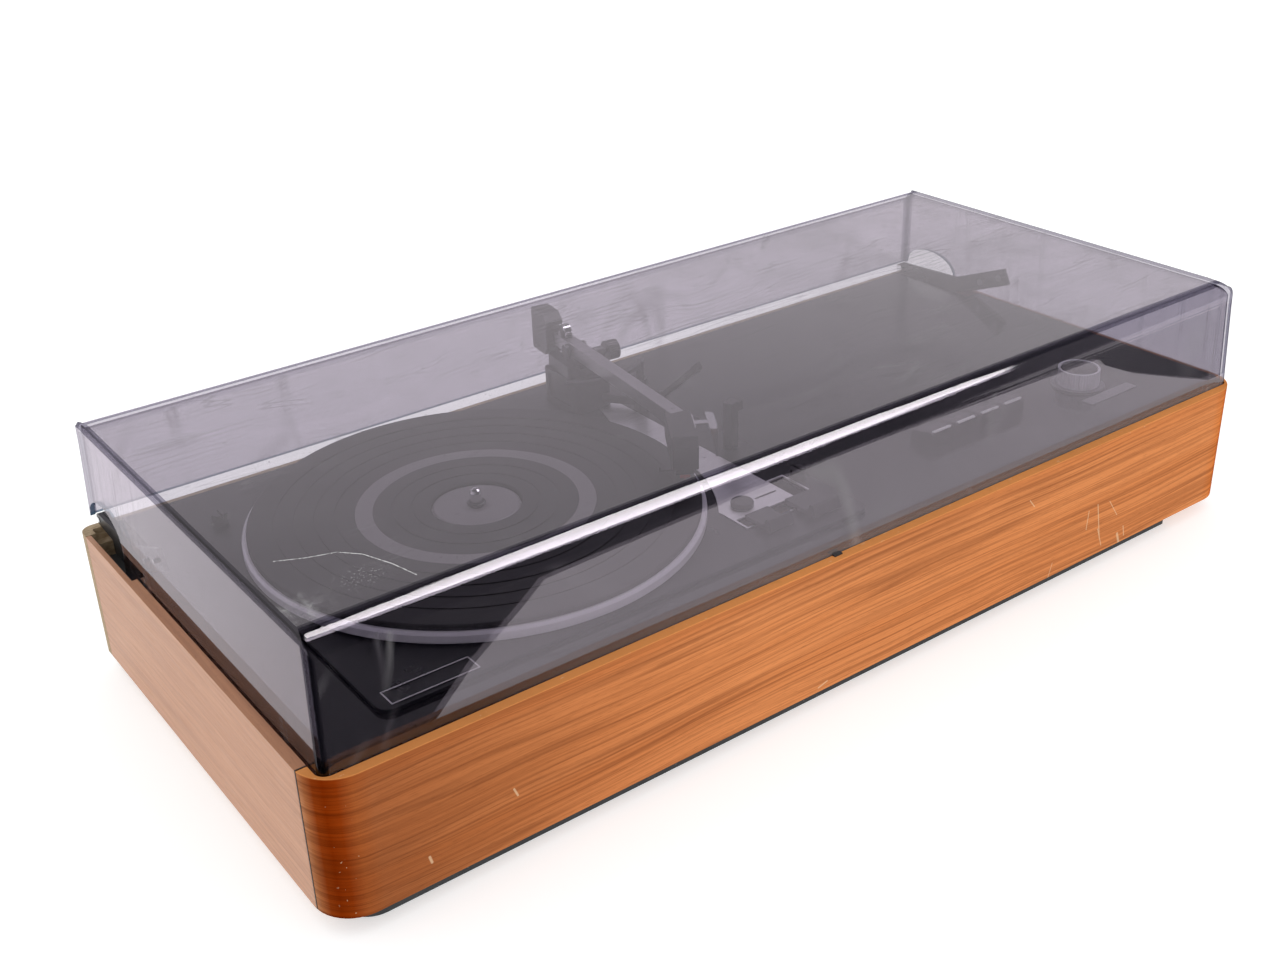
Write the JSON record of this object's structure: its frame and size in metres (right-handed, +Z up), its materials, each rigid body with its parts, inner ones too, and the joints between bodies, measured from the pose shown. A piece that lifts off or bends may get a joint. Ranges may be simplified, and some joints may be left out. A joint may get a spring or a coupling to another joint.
{
  "type": "record player",
  "caption": "Record player with a built-in amplifier in a long veneered cabinet, with a floating turntable unit, four keys, a volume knob and a hinged smoked dust cover",
  "frame": {"origin": "middle of the base, on the surface that the player stands on", "axes": "+X to the player's right seen from the front, +Y to the back, +Z up; the front faces -Y"},
  "size_m": [0.73, 0.328, 0.173],
  "materials": {
    "teak": "open-pored veneer, satin oil finish",
    "side_veneer": "open-pored veneer, satin oil finish",
    "board_wood": "raw particle board",
    "black_base": "matt black paint",
    "pad_rubber": "soft matt rubber",
    "deck_black": "glossy black laminate",
    "smoked_cover": "clear smoked acrylic, fine scratches",
    "hinge_dark": "black enamel",
    "bright_metal": "bright plated",
    "zinc_steel": "zinc-plated sheet",
    "unit_enamel": "fine satin black enamel",
    "cast_alloy": "turned light alloy",
    "mat_rubber": "ribbed matt rubber",
    "mat_grey": "pale grey matt inlay",
    "brass_part": "turned brass",
    "control_alloy": "satin anodised sheet",
    "dark_plastic": "fine-grained moulding",
    "arm_alloy": "grey lacquered channel",
    "stylus_red": "small moulded holder",
    "key_plastic": "glossy moulding with a bright front edge",
    "switch_grey": "moulded housings",
    "circuit_green": "lacquered laminate with parts",
    "iron_core": "varnished laminations"
  },
  "bodies": {
    "cabinet": {"front_panel": "teak", "left_side_panel": "side_veneer", "right_side_panel": "side_veneer", "rear_panel": "board_wood", "bottom_board": "board_wood", "base_skids": "black_base", "foot_pads": "pad_rubber", "corner_blocks": "board_wood", "deck_panel": "deck_black", "front_buffer": "pad_rubber", "hinge_brackets": "zinc_steel", "hinge_pins": "bright_metal", "unit_plate": "unit_enamel", "suspension_springs": "zinc_steel", "transit_screws": "dark_plastic", "bearing_housing": "zinc_steel", "motor": "zinc_steel", "control_plate": "control_alloy", "badge_frame": "bright_metal", "arm_pedestal": "dark_plastic", "arm_rest": "dark_plastic", "switch_bank": "switch_grey", "volume_control": "switch_grey", "label_plate": "control_alloy", "amplifier_board": "circuit_green", "transformer": "iron_core", "socket_plate": "dark_plastic"},
    "lid": {"dust_cover": "smoked_cover", "hinge_arms": "hinge_dark", "cover_screws": "bright_metal"},
    "turntable": {"platter": "cast_alloy", "platter_mat": "mat_rubber", "mat_ring": "mat_grey", "centre_disc": "mat_grey", "spindle": "bright_metal"},
    "pulley": {"motor_pulley": "brass_part"},
    "idler_carrier": {"idler_arm": "zinc_steel"},
    "idler": {"idler_wheel": "pad_rubber"},
    "selector": {"selector_knob": "dark_plastic"},
    "start": {"start_lever": "dark_plastic"},
    "speed": {"speed_lever": "dark_plastic"},
    "yoke": {"arm_yoke": "dark_plastic"},
    "arm": {"arm_tube": "arm_alloy", "headshell": "dark_plastic", "cartridge": "dark_plastic", "stylus": "stylus_red", "finger_lift": "bright_metal", "weight_rod": "bright_metal"},
    "weight": {"counterweight": "dark_plastic", "weight_screw": "bright_metal"},
    "force": {"force_wheel": "bright_metal"},
    "bias": {"bias_knob": "dark_plastic"},
    "clip": {"arm_clip": "dark_plastic"},
    "cue": {"cue_lever": "dark_plastic"},
    "rail": {"cue_rail": "dark_plastic"},
    "volume": {"volume_knob": "control_alloy"},
    "key_body_1": {"key_1": "key_plastic"},
    "key_body_2": {"key_2": "key_plastic"},
    "key_body_3": {"key_3": "key_plastic"},
    "key_body_4": {"key_4": "key_plastic"}
  },
  "joints": [
    {"name": "lid_hinge", "type": "hinge", "parent": "cabinet", "child": "lid", "pos_m": [0, 0.158, 0.104], "axis": [-1, 0, 0], "range_deg": [0, 70]},
    {"name": "turntable_spin", "type": "hinge", "parent": "cabinet", "child": "turntable", "pos_m": [-0.172, 0.004, 0.102], "axis": [0, 0, 1], "continuous": true},
    {"name": "pulley_spin", "type": "hinge", "parent": "cabinet", "child": "pulley", "pos_m": [-0.24261, -0.07469, 0.102], "axis": [0, 0, 1], "continuous": true},
    {"name": "idler_swing", "type": "hinge", "parent": "cabinet", "child": "idler_carrier", "pos_m": [-0.2255, -0.06007, 0.1], "axis": [0, 0, 1], "range_deg": [-3, 0]},
    {"name": "idler_spin", "type": "hinge", "parent": "idler_carrier", "child": "idler", "pos_m": [-0.2635, -0.06007, 0.108], "axis": [0, 0, 1], "continuous": true},
    {"name": "selector_turn", "type": "hinge", "parent": "cabinet", "child": "selector", "pos_m": [-0.039, -0.088, 0.107], "axis": [0, 0, 1], "range_deg": [-60, 60]},
    {"name": "start_slide", "type": "slide", "parent": "cabinet", "child": "start", "axis": [1, 0, 0], "range_m": [-0.006, 0.012]},
    {"name": "speed_slide", "type": "slide", "parent": "cabinet", "child": "speed", "axis": [0, 1, 0], "range_m": [0, 0.012]},
    {"name": "arm_swing", "type": "hinge", "parent": "cabinet", "child": "yoke", "pos_m": [-0.0285, 0.104, 0.13], "axis": [0, 0, 1], "range_deg": [-24, 23.85]},
    {"name": "arm_tip", "type": "hinge", "parent": "yoke", "child": "arm", "pos_m": [-0.0285, 0.104, 0.1475], "axis": [0.992, -0.1262, 0], "range_deg": [0, 1.8]},
    {"name": "weight_slide", "type": "slide", "parent": "arm", "child": "weight", "axis": [0.1262, 0.992, 0], "range_m": [-0.002, 0.003]},
    {"name": "force_turn", "type": "hinge", "parent": "arm", "child": "force", "pos_m": [-0.02673, 0.11789, 0.155], "axis": [0.992, -0.1262, 0], "range_deg": [-150, 150]},
    {"name": "bias_turn", "type": "hinge", "parent": "yoke", "child": "bias", "pos_m": [-0.00469, 0.10097, 0.1405], "axis": [0.992, -0.1262, 0], "range_deg": [-140, 140]},
    {"name": "clip_turn", "type": "hinge", "parent": "cabinet", "child": "clip", "pos_m": [0.01473, -0.01825, 0.1345], "axis": [-0.2857, 0.9583, 0], "range_deg": [-179, 0]},
    {"name": "cue_turn", "type": "hinge", "parent": "cabinet", "child": "cue", "pos_m": [0.0175, 0.06598, 0.1108], "axis": [1, 0, 0], "range_deg": [0, 35]},
    {"name": "cue_lift", "type": "slide", "parent": "cabinet", "child": "rail", "axis": [0, 0, -1], "range_m": [0, 0.0035]},
    {"name": "volume_turn", "type": "hinge", "parent": "cabinet", "child": "volume", "pos_m": [0.2665, -0.097, 0.103], "axis": [0, 0, 1], "range_deg": [-150, 150]},
    {"name": "key_press_1", "type": "slide", "parent": "cabinet", "child": "key_body_1", "axis": [0, 0, -1], "range_m": [0, 0.004], "stiffness_N_per_m": 300, "springref_m": -0.002},
    {"name": "key_press_2", "type": "slide", "parent": "cabinet", "child": "key_body_2", "axis": [0, 0, -1], "range_m": [0, 0.004], "stiffness_N_per_m": 300, "springref_m": -0.002},
    {"name": "key_press_3", "type": "slide", "parent": "cabinet", "child": "key_body_3", "axis": [0, 0, -1], "range_m": [0, 0.004], "stiffness_N_per_m": 300, "springref_m": -0.002},
    {"name": "key_press_4", "type": "slide", "parent": "cabinet", "child": "key_body_4", "axis": [0, 0, -1], "range_m": [0, 0.004], "stiffness_N_per_m": 300, "springref_m": -0.002}
  ],
  "couplings": [
    {"joint": "pulley_spin", "follows": "turntable_spin", "ratio": -41.875},
    {"joint": "idler_spin", "follows": "turntable_spin", "ratio": 6.0909},
    {"joint": "arm_tip", "follows": "cue_turn", "ratio": 0.051429},
    {"joint": "cue_lift", "follows": "cue_turn", "m_per_rad": 0.00573}
  ]
}
